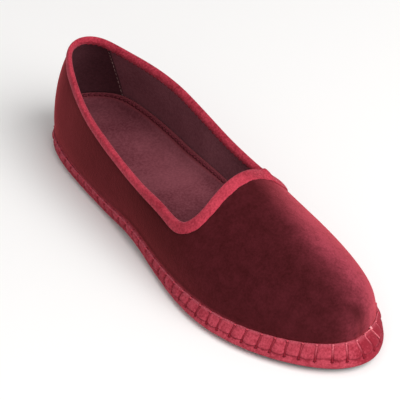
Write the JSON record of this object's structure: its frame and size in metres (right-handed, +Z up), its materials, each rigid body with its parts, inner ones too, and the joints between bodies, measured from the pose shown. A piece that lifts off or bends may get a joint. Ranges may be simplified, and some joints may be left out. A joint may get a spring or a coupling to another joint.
{
  "type": "velvet slipper",
  "caption": "Right velvet slip-on slipper with an almond toe, bound wavy topline, cloth-covered sole edge and thin rubber outsole.",
  "frame": {"origin": "on the floor under the middle of the slipper's bounding box", "axes": "+Z up, toe towards -Y, outer (lateral) side of the right foot towards -X"},
  "size_m": [0.0838, 0.2536, 0.06],
  "materials": {
    "outsole_rubber": "matte brown-black rubber",
    "band_cloth": "bright red woven cloth with blanket stitches",
    "insole_cloth": "burgundy twill",
    "velvet": "dark red velvet with a pink sheen",
    "binding_tape": "bright red ribbed tape"
  },
  "bodies": {
    "root": {"outsole": "outsole_rubber", "midsole": "band_cloth", "insole": "insole_cloth", "upper": "velvet", "topline_binding": "binding_tape"}
  },
  "joints": []
}
